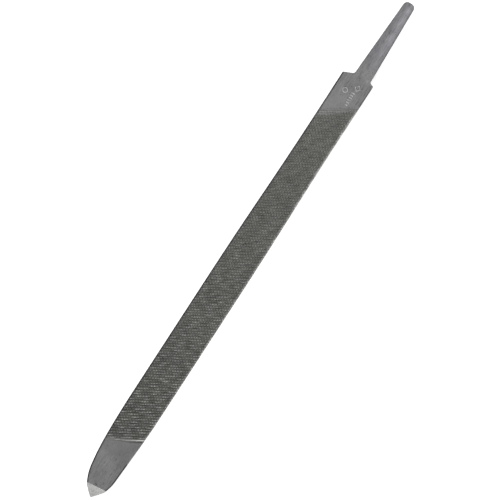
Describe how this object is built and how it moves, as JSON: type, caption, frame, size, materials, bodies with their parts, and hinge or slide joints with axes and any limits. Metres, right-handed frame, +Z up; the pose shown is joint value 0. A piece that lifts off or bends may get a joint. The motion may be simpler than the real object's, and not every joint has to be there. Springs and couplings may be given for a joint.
{
  "type": "three-square file",
  "caption": "Triangular hand file with a swelled, double-cut blade, a plain ground point and a tapered tang that takes a handle.",
  "frame": {"origin": "on the bench plane, under the centre of the whole file's bounding box", "axes": "+X runs along the file from its point to the end of its tang, +Z is up from the face that it lies on, and +Y completes the right-handed set"},
  "size_m": [0.3018, 0.0192, 0.0168],
  "materials": {
    "tang_steel": "forged and left soft, faintly scaled",
    "heel_steel": "ground, then dulled by hardening",
    "cut_steel": "double-cut teeth",
    "point_steel": "ground, then dulled by hardening"
  },
  "bodies": {
    "root": {"tang": "tang_steel", "heel": "heel_steel", "cut_body": "cut_steel", "point": "point_steel"}
  },
  "joints": []
}
